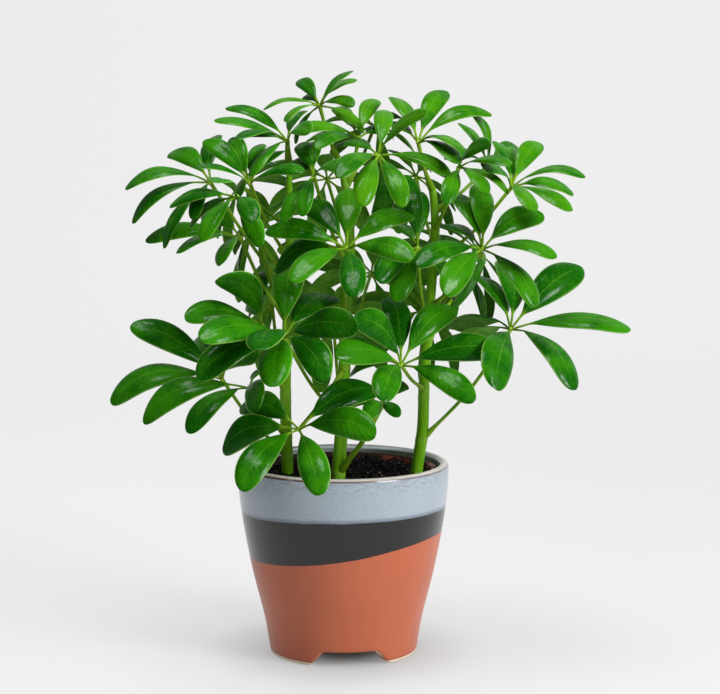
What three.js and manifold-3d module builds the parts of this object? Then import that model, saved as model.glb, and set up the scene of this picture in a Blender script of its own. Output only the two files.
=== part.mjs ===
import * as THREE from 'three';
import { mergeVertices } from 'three/addons/utils/BufferGeometryUtils.js';
import Module from 'manifold-3d';

// A potted umbrella plant, the small Schefflera with palmate leaves, in a glazed pot on three feet.
// Millimetres, +Z up, the front towards -Y. It is built round the pot's axis and then moved so that
// the origin lies under the middle of its box, on the surface that the feet stand on.

// Outer pot. Its wall bellies out from the foot and runs nearly upright below the lip.
const POT_OUTLINE = [[51.6, 1.5], [55.2, 23.5], [63.6, 58], [70.1, 92.5], [73.2, 118], [73.5, 130]];
const POT_HEIGHT = 134;
const POT_WALL = 5;
const POT_FLOOR = [13.2, 19];
const FOOT_RING_WALL = 7.5;
const LATHE_SIDES = 32;
const ARCH_COUNT = 3;
const ARCH_FIRST_AZIMUTH = -84;
const ARCH_WIDTH = 55;
const ARCH_HEIGHT = 11.8;
const ARCH_SLOPE = 10.5;
const ARCH_CUT_LENGTH = 30;

// Nursery pot, the thin liner that the plant was grown in, and the soil that fills it.
const SEAT_GAP = 0.3;
const LINER_RADII = [46, 63];
const LINER_LIP_RADIUS = 65.8;
const LINER_WALL = 1.6;
const LINER_TOP = 129.5;
const LINER_LIP_HEIGHT = 7;
const DRAIN_COUNT = 5;
const DRAIN_RADIUS = 4;
const DRAIN_CIRCLE = 32;
const SOIL_TOP = 125.4;
const SOIL_BUMP = 1.3;
const SOIL_RINGS = [1, 0.93, 0.72, 0.5, 0.26];
const SOIL_SIDES = 18;

// Stems: the points that each one passes through, from its root end in the soil to its tip, and the
// radius of each of its lengths. A length is a little thinner than the one below it.
const ROOT_DEPTH = 98;
const STEM_SIDES = 7;
const STEMS = {
  left: {
    points: [[-38, 0, ROOT_DEPTH], [-39, 0, 127], [-40, -2, 177], [-39, -4, 219], [-37, 0, 261],
      [-37, 2, 302], [-37, 2, 342]],
    radii: [4.3, 3.4, 1.9],
  },
  middle: {
    points: [[-3, -28, ROOT_DEPTH], [-3, -28, 130], [-1, -28, 160], [1, -26, 201], [2, -22, 249],
      [5, -14, 282], [2, -6, 323], [-2, -3, 342]],
    radii: [4.7, 3.9, 2.3],
  },
  right: {
    points: [[50, -8, ROOT_DEPTH], [51, -8, 127], [55, -8, 157], [56, -10, 192], [60, -12, 248],
      [63, -12, 299], [61, -12, 324]],
    radii: [4.3, 3.7, 2.5],
  },
};

// Leaves. Each one has a stem, the height where its stalk leaves that stem, and its hub, the point
// that its leaflets spread from. A leaflet is [clock, lean, length]: clock is the way that its tip
// points as seen from the front, counted anticlockwise from the right, and lean is how far it comes
// forward, both in degrees. A fourth number is the arch of a leaflet that bends more or less than most.
// A stalk that is thicker than most has its own stalkRadius.
// The leaves at the back have a whorl instead, [count, length, turn].
const LEAVES = {
  front_low: {
    stem: 'middle', from: 202, hub: [-28, -86, 170],
    leaflets: [[201, -31, 66], [222, 44, 66], [295, 57, 66], [171, -50, 66], [4, 41, 66], [23, -33, 66]],
  },
  front_left: {
    stem: 'middle', from: 166, hub: [-38, -66, 228],
    leaflets: [[179, 78, 70], [202, 33, 70], [175, 42, 70], [87, -49, 70], [22, -48, 70], [13, 45, 70],
      [324, 60, 70], [259, 70, 70]],
  },
  front_right: {
    stem: 'right', from: 186, hub: [39, -62, 209],
    leaflets: [[164, 44, 62], [131, 40, 62], [98, -47, 62], [43, -34, 62], [9, 3, 67], [338, 36, 62],
      [229, 71, 62], [199, -55, 62]],
  },
  front_mid: {
    stem: 'middle', from: 238, hub: [3, -72, 287],
    leaflets: [[169, -19, 58], [132, -51, 58], [87, -49, 58], [25, -33, 58], [355, 43, 58],
      [280, 62, 58], [208, 48, 58], [199, -28, 58]],
  },
  right_mid: {
    stem: 'right', from: 242, hub: [93, -48, 285],
    leaflets: [[114, -47, 58], [78, -46, 58], [27, -33, 58], [356, 38, 58], [313, 33, 58],
      [251, -39, 58], [224, 50, 58], [190, 38, 58], [172, -58, 58]],
  },
  top_mid: {
    stem: 'middle', from: 296, hub: [24, -46, 347],
    leaflets: [[170, -56, 52], [206, 55, 52], [250, 50, 52], [296, 46, 52], [344, 18, 52],
      [43, 35, 52], [82, -54, 52], [268, -28, 50]],
  },
  far_right: {
    stem: 'right', from: 150, hub: [114, -26, 229],
    leaflets: [[128, -56, 76], [88, -57, 76], [37, -30, 76], [1, 8, 81, 0.125], [318, 49, 76, 0.2],
      [244, 63, 76], [192, -62, 76], [218, -55, 76]],
  },
  top_right: {
    stem: 'right', from: 322, hub: [51, -22, 355],
    leaflets: [[118, -51, 56], [59, -43, 56], [21, -16, 56, 0.2], [352, 61, 56], [332, 61, 56],
      [159, -58, 56]],
  },
  top_back: {
    stem: 'middle', from: 326, hub: [11, 0, 358],
    leaflets: [[128, -56, 48], [63, -52, 48], [172, 31, 48], [186, -36, 48], [207, 50, 48],
      [17, -51, 48]],
  },
  top_tip: {
    stem: 'middle', from: 340, hub: [-16, 6, 380],
    leaflets: [[184, 3, 39, 0.19], [132, -51, 38], [47, -29, 38], [33, 37, 38], [360, 51, 38],
      [206, 49, 38], [157, -70, 38], [236, -12, 32], [316, -8, 36]],
  },
  top_left: {
    stem: 'left', from: 340, hub: [-38, 0, 356],
    leaflets: [[164, 4, 52, 0.12], [152, -14, 50], [177, 49, 50], [225, 50, 50], [11, 74, 50],
      [64, -64, 50], [180, -20, 40]],
  },
  upper_left: {
    stem: 'left', from: 274, hub: [-62, -34, 328],
    leaflets: [[138, -21, 46], [106, -42, 46], [79, -39, 46], [45, -49, 46], [13, 34, 46], [162, 25, 40]],
  },
  upper_left_front: {
    stem: 'left', from: 260, hub: [-69, -58, 320],
    leaflets: [[139, 68, 46], [211, -31, 46], [232, 42, 46], [313, 65, 46], [299, 41, 46],
      [188, -25, 52]],
  },
  left_high: {
    stem: 'left', from: 250, hub: [-90, -12, 328], bend: [0, 12, 3],
    leaflets: [[184, 7, 58, 0.21], [150, -48, 56], [90, -56, 56], [207, 7, 60, 0.21], [235, 17, 56],
      [250, 58, 46]],
  },
  left_mid: {
    stem: 'left', from: 232, hub: [-70, -8, 290],
    leaflets: [[191, 44, 56], [236, 73, 56], [318, -72, 56], [181, 6, 65], [130, -56, 56]],
  },
  low_inner: {
    stem: 'middle', from: 131, hub: [27, -58, 183], stalkRadius: 1.9,
    leaflets: [[335, 75, 36], [199, 69, 36], [190, -41, 36], [24, -58, 36]],
  },
  left_low: {
    stem: 'left', from: 138, hub: [-83, -14, 193],
    leaflets: [[148, 3, 73, 0.11], [190, 9, 78, 0.21], [41, 58, 70], [149, -63, 70], [95, -67, 70]],
  },
  left_front: {
    stem: 'left', from: 152, hub: [-63, -40, 191],
    leaflets: [[197, 9, 75, 0.21], [213, 41, 60, 0.2], [319, 80, 60], [11, -77, 60]],
  },
  left_back: {
    stem: 'left', from: 182, hub: [-55, -20, 231],
    leaflets: [[170, 32, 60], [128, 42, 60], [97, -56, 60], [132, -74, 60], [23, -55, 60]],
  },
  inner_right: {
    stem: 'right', from: 222, hub: [50, -34, 285],
    leaflets: [[216, 51, 52], [245, 46, 52], [305, -63, 52], [306, -28, 52], [146, -68, 52],
      [99, -8, 50], [76, -34, 44]],
  },
  right_high: {
    stem: 'right', from: 272, hub: [114, -22, 325],
    leaflets: [[51, -44, 52], [9, 22, 52, 0.2], [339, 40, 52], [354, -30, 52], [309, 71, 52],
      [104, -53, 52], [147, 61, 52], [67, -62, 52]],
  },
  right_inner: {
    stem: 'right', from: 296, hub: [77, -48, 339],
    leaflets: [[41, 57, 44], [5, 42, 44], [317, 60, 44], [246, 56, 44], [70, -74, 44], [333, -5, 38]],
  },
  right_back: {
    stem: 'right', from: 308, hub: [100, 14, 339],
    leaflets: [[122, -42, 46], [101, 39, 46], [22, -53, 46], [173, -53, 46], [88, 8, 34]],
  },
  heart: {
    stem: 'middle', from: 270, hub: [-19, -42, 333],
    leaflets: [[116, -57, 44], [96, -59, 44], [31, 66, 44], [235, 38, 44], [256, 55, 44],
      [158, -65, 44]],
  },
  back_low_left: { stem: 'left', from: 176, hub: [-52, 62, 238], whorl: [7, 58, 10] },
  back_low_mid: { stem: 'middle', from: 168, hub: [-8, 76, 226], whorl: [6, 56, 40] },
  back_low_right: { stem: 'right', from: 180, hub: [58, 62, 234], whorl: [7, 58, 70] },
  back_left: { stem: 'left', from: 230, hub: [-62, 54, 292], whorl: [7, 54, 25] },
  back_mid_left: { stem: 'left', from: 220, hub: [-40, 84, 264], whorl: [6, 56, 55] },
  back_mid: { stem: 'middle', from: 224, hub: [20, 92, 258], whorl: [7, 56, 0] },
  back_mid_right: { stem: 'right', from: 212, hub: [82, 70, 268], whorl: [7, 56, 35] },
  back_right: { stem: 'right', from: 226, hub: [96, 50, 276], whorl: [7, 54, 15] },
  back_high_left: { stem: 'left', from: 296, hub: [-72, 46, 324], whorl: [7, 50, 60] },
  back_high_mid: { stem: 'middle', from: 288, hub: [-12, 66, 328], whorl: [7, 52, 20] },
  back_high_right: { stem: 'right', from: 284, hub: [52, 64, 330], whorl: [7, 50, 45] },
  back_top: { stem: 'middle', from: 324, hub: [22, 40, 366], whorl: [6, 42, 30] },
};

// Leaf stalks and blades. A leaf looks the more upward the higher it hangs, away from the plant's
// heart, and the leaves of the front half are also pulled round to the light.
const STALK_RADIUS = 1.35;
const STALK_SIDES = 5;
const STALK_STEPS = 4;
const STALK_SAG = 0.03;
const LEAFLET_STALK_SHARE = 0.17;
const LEAFLET_STALK_RADIUS = 0.9;
const HUB_RADIUS = 2.5;
const LEAFLET_ROOT = 1.3;
const BLADE_WIDTH_RATIO = 0.4;
const BLADE_DEPTH = 1.8;
const BLADE_ARCH = 0.15;
const BLADE_STATIONS = [0.25, 0.62, 0.92];
const TILT_AT_SOIL = 22;
const TILT_PER_MM = 0.1;
const TILT_BASE_HEIGHT = 160;
const PLANT_HEART = [8, 12];
const LIGHT_PULL = 0.9;
const ARCH_LIFT = 1.6;
const WHORL_DROOP = 24;
const WHORL_SHORTENING = 0.16;
const CLEARANCE = 0.45;
const SWING_STEP = 7;

const COLOURS = {
  pot: { color: 0xb3563f, roughness: 0.3, metalness: 0 },
  liner: { color: 0x9c4a33, roughness: 0.6, metalness: 0 },
  soil: { color: 0x1d1512, roughness: 0.95, metalness: 0 },
  stem: { color: 0x4f7a18, roughness: 0.5, metalness: 0 },
  leaf: { color: 0x1f6b0c, roughness: 0.3, metalness: 0 },
};

const wasm = await Module();
wasm.setup();

const degrees = THREE.MathUtils.degToRad;
const vector = (list) => new THREE.Vector3(...list);

// A closed solid from points and triangles.
function solidFrom(vertices, triangles) {
  return new wasm.Manifold(new wasm.Mesh({
    numProp: 3,
    vertProperties: new Float32Array(vertices),
    triVerts: new Uint32Array(triangles),
  }));
}

// A closed solid from a three.js geometry: shared points are merged and collapsed faces dropped.
function solidFromGeometry(geometry) {
  const bare = geometry.clone();
  bare.deleteAttribute('normal');
  bare.deleteAttribute('uv');
  const merged = mergeVertices(bare, 1e-4);
  const index = merged.index.array;
  const triangles = [];
  for (let i = 0; i < index.length; i += 3) {
    const [a, b, c] = [index[i], index[i + 1], index[i + 2]];
    if (a !== b && b !== c && c !== a) triangles.push(a, b, c);
  }
  return solidFrom(merged.attributes.position.array, triangles);
}

function geometryFromSolid(solid) {
  const mesh = solid.getMesh();
  const geometry = new THREE.BufferGeometry();
  geometry.setAttribute('position', new THREE.BufferAttribute(mesh.vertProperties, 3));
  geometry.setIndex(new THREE.BufferAttribute(mesh.triVerts, 1));
  geometry.computeVertexNormals();
  return geometry;
}

// A closed profile [[radius, height], ...] turned about the Z axis.
function turned(profile, sides = LATHE_SIDES) {
  const points = profile.map(([radius, height]) => new THREE.Vector2(radius, height));
  const geometry = new THREE.LatheGeometry(points, sides);
  geometry.rotateX(Math.PI / 2);
  return solidFromGeometry(geometry);
}

function polygon(radius, sides) {
  const corners = [];
  for (let i = 0; i < sides; i += 1) {
    const angle = (2 * Math.PI * i) / sides;
    corners.push(new THREE.Vector2(radius * Math.cos(angle), radius * Math.sin(angle)));
  }
  return new THREE.Shape(corners);
}

function tube(points, radius, sides, steps) {
  const path = new THREE.CatmullRomCurve3(points, false, 'centripetal');
  const options = { steps, bevelEnabled: false, extrudePath: path };
  return solidFromGeometry(new THREE.ExtrudeGeometry(polygon(radius, sides), options));
}

// The glazed pot: a turned shell on a foot ring, with a low arch cut through the ring between feet.
function makePot() {
  const outline = new THREE.SplineCurve(POT_OUTLINE.map(([r, z]) => new THREE.Vector2(r, z)));
  const outside = outline.getPoints(6).map((point) => [point.x, point.y]);
  const inside = outside.filter(([, z]) => z > POT_FLOOR[1] + 4).map(([r, z]) => [r - POT_WALL, z]);
  const [rimRadius] = outside[outside.length - 1];
  const lip = [
    [rimRadius - 0.7, POT_HEIGHT - 1],
    [rimRadius - POT_WALL / 2, POT_HEIGHT],
    [rimRadius - POT_WALL + 0.7, POT_HEIGHT - 1],
  ];
  const ringInner = outside[0][0] - FOOT_RING_WALL;
  const profile = [
    [0, POT_FLOOR[0]],
    [ringInner - 2, POT_FLOOR[0]],
    [ringInner, 0],
    [outside[0][0] - 0.3, 0],
    ...outside,
    ...lip,
    ...inside.reverse(),
    [inside[inside.length - 1][0] - 4, POT_FLOOR[1]],
    [0, POT_FLOOR[1]],
  ];
  let pot = turned(profile);
  for (let i = 0; i < ARCH_COUNT; i += 1) {
    pot = pot.subtract(makeArch(degrees(ARCH_FIRST_AZIMUTH + (360 * i) / ARCH_COUNT)));
  }
  return pot;
}

// One arch cutter: a low opening whose sides slope out to the floor in an S, run out along a radius.
function makeArch(azimuth) {
  const half = ARCH_WIDTH / 2;
  const crown = half - ARCH_SLOPE;
  const turn = half - ARCH_SLOPE / 2;
  const opening = new THREE.Shape();
  opening.moveTo(-half, -1);
  opening.lineTo(half, -1);
  opening.bezierCurveTo(turn, 0, turn, ARCH_HEIGHT, crown, ARCH_HEIGHT);
  opening.lineTo(-crown, ARCH_HEIGHT);
  opening.bezierCurveTo(-turn, ARCH_HEIGHT, -turn, 0, -half, -1);
  const options = { depth: ARCH_CUT_LENGTH, bevelEnabled: false, curveSegments: 5 };
  const geometry = new THREE.ExtrudeGeometry(opening, options);
  geometry.translate(0, 0, ARCH_CUT_LENGTH);
  const radial = new THREE.Vector3(Math.cos(azimuth), Math.sin(azimuth), 0);
  const up = new THREE.Vector3(0, 0, 1);
  const tangent = up.clone().cross(radial);
  geometry.applyMatrix4(new THREE.Matrix4().makeBasis(tangent, up, radial));
  return solidFromGeometry(geometry);
}

// The radius of the liner's outer wall at a height.
function linerRadius(z) {
  const share = (z - POT_FLOOR[1]) / (LINER_TOP - POT_FLOOR[1]);
  return THREE.MathUtils.lerp(LINER_RADII[0], LINER_RADII[1], share);
}

// The nursery pot: a thin tapered shell with a thicker lip, standing on the outer pot's floor.
function makeLiner() {
  const bottom = POT_FLOOR[1] + SEAT_GAP;
  const lipBottom = LINER_TOP - LINER_LIP_HEIGHT;
  const profile = [
    [0, bottom],
    [linerRadius(bottom), bottom],
    [linerRadius(lipBottom), lipBottom],
    [LINER_LIP_RADIUS, lipBottom],
    [LINER_LIP_RADIUS, LINER_TOP - 0.6],
    [LINER_LIP_RADIUS - 0.6, LINER_TOP],
    [linerRadius(LINER_TOP) - LINER_WALL, LINER_TOP],
    [linerRadius(bottom + 2) - LINER_WALL, bottom + 2],
    [0, bottom + 2],
  ];
  let liner = turned(profile);
  for (let i = 0; i < DRAIN_COUNT; i += 1) {
    const angle = (2 * Math.PI * i) / DRAIN_COUNT;
    const drain = new THREE.CylinderGeometry(DRAIN_RADIUS, DRAIN_RADIUS, 8, 6);
    drain.rotateX(Math.PI / 2);
    drain.translate(DRAIN_CIRCLE * Math.cos(angle), DRAIN_CIRCLE * Math.sin(angle), bottom + 1);
    liner = liner.subtract(solidFromGeometry(drain));
  }
  return liner;
}

// Uneven ground: a few long waves of different directions.
function soilHeight(x, y) {
  const waves = Math.sin(0.21 * x + 0.5) * Math.cos(0.17 * y) + 0.6 * Math.sin(0.13 * y - 0.29 * x);
  return SOIL_TOP + SOIL_BUMP * waves;
}

// The soil fills the liner. Its top is uneven, and each stem stands in a hole of its own shape.
function makeSoil(stemHoles) {
  const bottom = POT_FLOOR[1] + 2 * SEAT_GAP + 2;
  const floorRadius = linerRadius(bottom) - LINER_WALL - SEAT_GAP;
  const topRadius = linerRadius(SOIL_TOP) - LINER_WALL - SEAT_GAP - 0.3;
  const rings = [ringPoints(floorRadius, () => bottom)];
  for (const share of SOIL_RINGS) rings.push(ringPoints(topRadius * share, soilHeight));
  let soil = loft(rings, [0, 0, bottom], [0, 0, soilHeight(0, 0)]);
  for (const hole of stemHoles) soil = soil.subtract(hole);
  return soil;
}

function ringPoints(radius, height) {
  const ring = [];
  for (let i = 0; i < SOIL_SIDES; i += 1) {
    const angle = (2 * Math.PI * i) / SOIL_SIDES;
    const [x, y] = [radius * Math.cos(angle), radius * Math.sin(angle)];
    ring.push([x, y, height(x, y)]);
  }
  return ring;
}

// A closed solid over rings of equal size, which turn anticlockwise as seen from the last one. Each
// end closes to a point.
function loft(rings, first, last) {
  const count = rings[0].length;
  const vertices = [...rings.flat(), first, last].flat();
  const firstIndex = rings.length * count;
  const lastIndex = firstIndex + 1;
  const top = (rings.length - 1) * count;
  const triangles = [];
  for (let i = 0; i < count; i += 1) {
    const next = (i + 1) % count;
    for (let k = 0; k < rings.length - 1; k += 1) {
      const [a, b] = [k * count + i, k * count + next];
      triangles.push(a, b, b + count, a, b + count, a + count);
    }
    triangles.push(firstIndex, next, i, lastIndex, top + i, top + next);
  }
  return solidFrom(vertices, triangles);
}

// A stem is made of lengths along one curve, each sunk into the one before it.
function stemCurve(stem) {
  return new THREE.CatmullRomCurve3(stem.points.map(vector), false, 'centripetal');
}

function makeStem(stem, grow = 0) {
  const curve = stemCurve(stem);
  const lengths = stem.radii.length;
  let whole = null;
  stem.radii.forEach((radius, i) => {
    const [from, to] = [Math.max(0, i / lengths - 0.02), (i + 1) / lengths];
    const points = [0, 0.25, 0.5, 0.75, 1].map((s) => curve.getPointAt(from + (to - from) * s));
    if (i === 0) points[0].z -= grow;
    if (i === lengths - 1) points[4].add(curve.getTangentAt(1).multiplyScalar(grow));
    const length = tube(points, radius + grow, STEM_SIDES, 3);
    whole = whole ? whole.add(length) : length;
  });
  return whole;
}

// The point on a stem's axis at a height, found by halving.
function stemPoint(stem, height) {
  const curve = stemCurve(stem);
  let [low, high] = [0, 1];
  for (let i = 0; i < 24; i += 1) {
    const middle = (low + high) / 2;
    if (curve.getPointAt(middle).z < height) low = middle;
    else high = middle;
  }
  return curve.getPointAt(low);
}

// The way that a leaf's upper side looks.
function leafFacing(leaf) {
  const [x, y] = leaf.hub;
  const out = new THREE.Vector3(x - PLANT_HEART[0], y - PLANT_HEART[1], 0).normalize();
  if (leaf.leaflets) out.add(new THREE.Vector3(0, -LIGHT_PULL, 0)).normalize();
  const tilt = degrees(TILT_AT_SOIL + TILT_PER_MM * (leaf.hub[2] - TILT_BASE_HEIGHT));
  return out.multiplyScalar(Math.cos(tilt)).setZ(Math.sin(tilt));
}

// A leaf's leaflets as directions, lengths and arches. A whorl spreads them evenly round the facing,
// drooping, the ones over the leaf stalk shorter.
function leafletRays(leaf, facing) {
  if (leaf.leaflets) {
    return leaf.leaflets.map(([clock, lean, length, arch = BLADE_ARCH]) => {
      const [c, l] = [degrees(clock), degrees(lean)];
      const way = new THREE.Vector3(Math.cos(l) * Math.cos(c), -Math.sin(l), Math.cos(l) * Math.sin(c));
      return { way, length, arch };
    });
  }
  const [count, reach, turn] = leaf.whorl;
  const side = new THREE.Vector3(0, 0, 1).cross(facing).normalize();
  const rise = facing.clone().cross(side);
  const droop = degrees(WHORL_DROOP);
  const rays = [];
  for (let i = 0; i < count; i += 1) {
    const angle = degrees(turn + (360 * i) / count);
    const flat = side.clone().multiplyScalar(Math.cos(angle)).addScaledVector(rise, Math.sin(angle));
    const way = flat.clone().multiplyScalar(Math.cos(droop)).addScaledVector(facing, -Math.sin(droop));
    const length = reach * (1 - WHORL_SHORTENING * (1 + Math.sin(angle)) / 2);
    rays.push({ way, length, arch: BLADE_ARCH });
  }
  return rays;
}

// The outline of a blade: its half width as a share of the greatest, from its foot at 0 to its tip
// at 1. It widens slowly from a wedge and ends blunt.
function bladeOutline(along) {
  return Math.sin(Math.PI * along ** 1.42) ** 0.6;
}

// One leaflet: a short stalk that widens to a thin blade, with its two halves falling away from the
// midrib. The blade arches over its chord, more to the sky than its upper side looks, because its own
// weight bends it. grow makes a fatter copy, used to test what it would touch.
function makeLeaflet(hub, { way, length, arch }, facing, grow = 0) {
  const up = facing.clone().addScaledVector(way, -facing.dot(way)).normalize();
  const side = way.clone().cross(up);
  const sky = new THREE.Vector3(0, 0, 1).addScaledVector(way, -way.z);
  const bulge = up.clone().addScaledVector(sky, ARCH_LIFT).normalize();
  const rise = (t) => 4 * arch * length * t * (1 - t);
  const ring = (t, half, depth) => {
    const rib = hub.clone().addScaledVector(way, t * length).addScaledVector(bulge, rise(t));
    const at = (across, above) => rib.clone().addScaledVector(side, across).addScaledVector(up, above);
    const low = -depth - grow;
    return [at(-half - grow, low), at(0, grow), at(half + grow, low)].map((point) => point.toArray());
  };
  const foot = LEAFLET_STALK_SHARE;
  const halfWidth = (BLADE_WIDTH_RATIO * length * (1 - foot)) / 2;
  const stalk = LEAFLET_STALK_RADIUS;
  const rootShare = grow ? foot * 0.7 : LEAFLET_ROOT / length;
  const rings = [rootShare, foot].map((t) => ring(t, stalk, 1.5 * stalk));
  for (const along of BLADE_STATIONS) {
    const half = halfWidth * bladeOutline(along);
    rings.push(ring(foot + (1 - foot) * along, half, BLADE_DEPTH * bladeOutline(along)));
  }
  const first = hub.clone().addScaledVector(way, rootShare * length - 0.3);
  const tip = hub.clone().addScaledVector(way, length + grow);
  return loft(rings, first.toArray(), tip.toArray());
}

// The small swings that a leaflet may make to clear its neighbours: [lift, fan] in degrees, the
// smallest first.
function swings() {
  const list = [];
  for (let lift = -3; lift <= 3; lift += 1) {
    for (let fan = -3; fan <= 3; fan += 1) list.push([lift * SWING_STEP, fan * SWING_STEP]);
  }
  return list.sort((a, b) => Math.hypot(...a) - Math.hypot(...b) || a[0] - b[0] || a[1] - b[1]);
}

function boxOf(solid) {
  const { min, max } = solid.boundingBox();
  return new THREE.Box3(vector(min), vector(max));
}

function isClear(solid, obstacles) {
  const box = boxOf(solid);
  const near = obstacles.filter((other) => box.intersectsBox(other.box));
  return near.every((other) => solid.intersect(other.solid).isEmpty());
}

// The swollen end of a leaf stalk, which its leaflets grow out of.
function makeHub(hub) {
  const geometry = new THREE.IcosahedronGeometry(HUB_RADIUS, 0);
  geometry.translate(hub.x, hub.y, hub.z);
  return solidFromGeometry(geometry);
}

// A leaflet in the first of its swings that touches nothing of another piece.
function clearLeaflet(hub, ray, facing, obstacles) {
  for (const [lift, fan] of swings()) {
    const side = ray.way.clone().cross(facing).normalize();
    const way = ray.way.clone().applyAxisAngle(side, degrees(lift)).applyAxisAngle(facing, degrees(fan));
    const swung = { ...ray, way };
    if (isClear(makeLeaflet(hub, swung, facing, CLEARANCE), obstacles)) {
      return makeLeaflet(hub, swung, facing);
    }
  }
  return null;
}

// A leaf stalk, from its stem's axis to just past the hub, cut back to stand clear of the stem.
function makeStalk(leaf) {
  const hub = vector(leaf.hub);
  const radius = leaf.stalkRadius ?? STALK_RADIUS;
  const foot = stemPoint(STEMS[leaf.stem], leaf.from);
  const middle = foot.clone().lerp(hub, 0.5);
  const sag = STALK_SAG * foot.distanceTo(hub);
  const out = new THREE.Vector3(hub.x - foot.x, hub.y - foot.y, 0).normalize();
  middle.addScaledVector(out, sag).add(new THREE.Vector3(0, 0, -sag));
  if (leaf.bend) middle.add(vector(leaf.bend));
  const end = hub.clone().addScaledVector(hub.clone().sub(middle).normalize(), radius);
  return tube([foot, middle, end], radius, STALK_SIDES, STALK_STEPS);
}

const plant = new THREE.Group();

function addPiece(name, solid, colour) {
  const mesh = new THREE.Mesh(geometryFromSolid(solid), new THREE.MeshStandardMaterial(colour));
  mesh.name = name;
  plant.add(mesh);
}

const stems = Object.fromEntries(Object.entries(STEMS).map(([name, stem]) => [name, makeStem(stem)]));
const stemSpaces = Object.fromEntries(
  Object.entries(STEMS).map(([name, stem]) => [name, makeStem(stem, SEAT_GAP)]),
);
const pot = makePot();
const liner = makeLiner();
const soil = makeSoil(Object.values(stemSpaces));
addPiece('pot', pot, COLOURS.pot);
addPiece('nursery_pot', liner, COLOURS.liner);
addPiece('soil', soil, COLOURS.soil);
for (const [name, solid] of Object.entries(stems)) addPiece(`stem_${name}`, solid, COLOURS.stem);

const names = Object.keys(LEAVES);
const stalks = Object.fromEntries(names.map((name) => {
  const leaf = LEAVES[name];
  return [name, makeStalk(leaf).subtract(stemSpaces[leaf.stem]).add(makeHub(vector(leaf.hub)))];
}));
const bodies = [pot, liner, soil, ...Object.values(stems)];
const standing = bodies.map((solid) => ({ solid, box: boxOf(solid) }));
const grown = names.map((name) => ({ name, solid: stalks[name], box: boxOf(stalks[name]) }));
for (const name of names) {
  const leaf = LEAVES[name];
  const hub = vector(leaf.hub);
  const facing = leafFacing(leaf);
  const obstacles = [...standing, ...grown.filter((other) => other.name !== name)];
  let whole = stalks[name];
  for (const ray of leafletRays(leaf, facing)) {
    const leaflet = clearLeaflet(hub, ray, facing, obstacles);
    if (leaflet) {
      whole = whole.add(leaflet);
      grown.push({ name, solid: leaflet, box: boxOf(leaflet) });
    }
  }
  addPiece(`leaf_${name}`, whole, COLOURS.leaf);
}

const box = new THREE.Box3().setFromObject(plant);
const centre = box.getCenter(new THREE.Vector3());
plant.position.set(-centre.x, -centre.y, 0);

export default plant;
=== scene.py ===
# %% [markdown]
# # A potted umbrella plant
#
# The object is a small Schefflera with palmate leaves, growing in a nursery pot that stands in a
# glazed cover pot. The CAD frame already has every pot, stem and leaf in its place, as plain solids
# with few faces. This lesson dresses them: each node is replaced by a finer surface of the same form,
# worked out with numpy, and gets a finish made of nodes. The frame is in metres, +Z up, and the front
# of the plant looks towards -Y.

import bpy
import numpy as np
from mathutils import Matrix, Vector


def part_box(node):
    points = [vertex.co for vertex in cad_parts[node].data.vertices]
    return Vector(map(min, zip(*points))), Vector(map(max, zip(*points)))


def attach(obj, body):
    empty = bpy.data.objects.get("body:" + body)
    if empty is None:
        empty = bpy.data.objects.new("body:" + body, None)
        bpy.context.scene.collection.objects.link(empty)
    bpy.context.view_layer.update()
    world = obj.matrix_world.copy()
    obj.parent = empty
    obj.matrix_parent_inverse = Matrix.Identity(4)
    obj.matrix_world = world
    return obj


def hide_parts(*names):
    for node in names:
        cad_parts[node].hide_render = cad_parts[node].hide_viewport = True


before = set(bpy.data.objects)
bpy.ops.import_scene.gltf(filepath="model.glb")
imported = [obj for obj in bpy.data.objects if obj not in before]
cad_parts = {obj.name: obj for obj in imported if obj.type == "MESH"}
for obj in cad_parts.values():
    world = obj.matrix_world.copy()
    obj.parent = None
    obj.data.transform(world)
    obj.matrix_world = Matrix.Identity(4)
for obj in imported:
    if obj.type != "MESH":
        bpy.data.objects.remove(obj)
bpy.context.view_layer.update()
scene = bpy.context.scene

# %% [markdown]
# ## Where the pot's axis is
#
# The plant was measured from the pot's axis, in millimetres, and the frame was then moved so that its
# origin lies under the middle of the whole box. The pot is round, so the middle of its own box gives
# the axis back. Every length below is in millimetres from that axis, and one helper turns it into
# metres in the frame.

# %% From millimetres on the pot's axis to metres in the frame
POT_LOW, POT_HIGH = (np.array(corner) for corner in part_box("pot"))
AXIS = np.array([(POT_LOW[0] + POT_HIGH[0]) / 2, (POT_LOW[1] + POT_HIGH[1]) / 2, 0.0])


def to_frame(points):
    """Millimetres from the pot's axis become metres in the frame."""
    return np.asarray(points, float) / 1000 + AXIS


print("pot axis, mm:", np.round(1000 * AXIS[:2], 3))

# %% [markdown]
# ## The camera
#
# The camera comes first, because every choice of detail depends on how large it will be seen. The
# photo was taken from a little over a metre away, slightly above the leaves and looking down by about
# seven degrees. A long lens keeps the pot's sides from leaning. The lens follows from the focal length
# in pixels: on a sensor 36 mm wide, the image's 720 pixels are 36 mm.

# %% Camera at the photo's place
IMAGE_WIDTH = 720
FOCAL_PIXELS = 1952.0
SENSOR_MM = 36.0
CAMERA_PLACE = (11.7, -1344.0, 373.0)
CAMERA_PITCH = -6.75

lens = bpy.data.cameras.new("photo_camera")
lens.sensor_width = SENSOR_MM
lens.lens = FOCAL_PIXELS * SENSOR_MM / IMAGE_WIDTH
lens.clip_end = 20.0
camera = bpy.data.objects.new("photo_camera", lens)
camera.matrix_world = (
    Matrix.Translation(to_frame(CAMERA_PLACE))
    @ Matrix.Rotation(np.radians(90 + CAMERA_PITCH), 4, "X")
)
scene.collection.objects.link(camera)
scene.camera = camera
scene.view_settings.view_transform = "Standard"
print("lens, mm:", round(lens.lens, 2))

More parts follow.
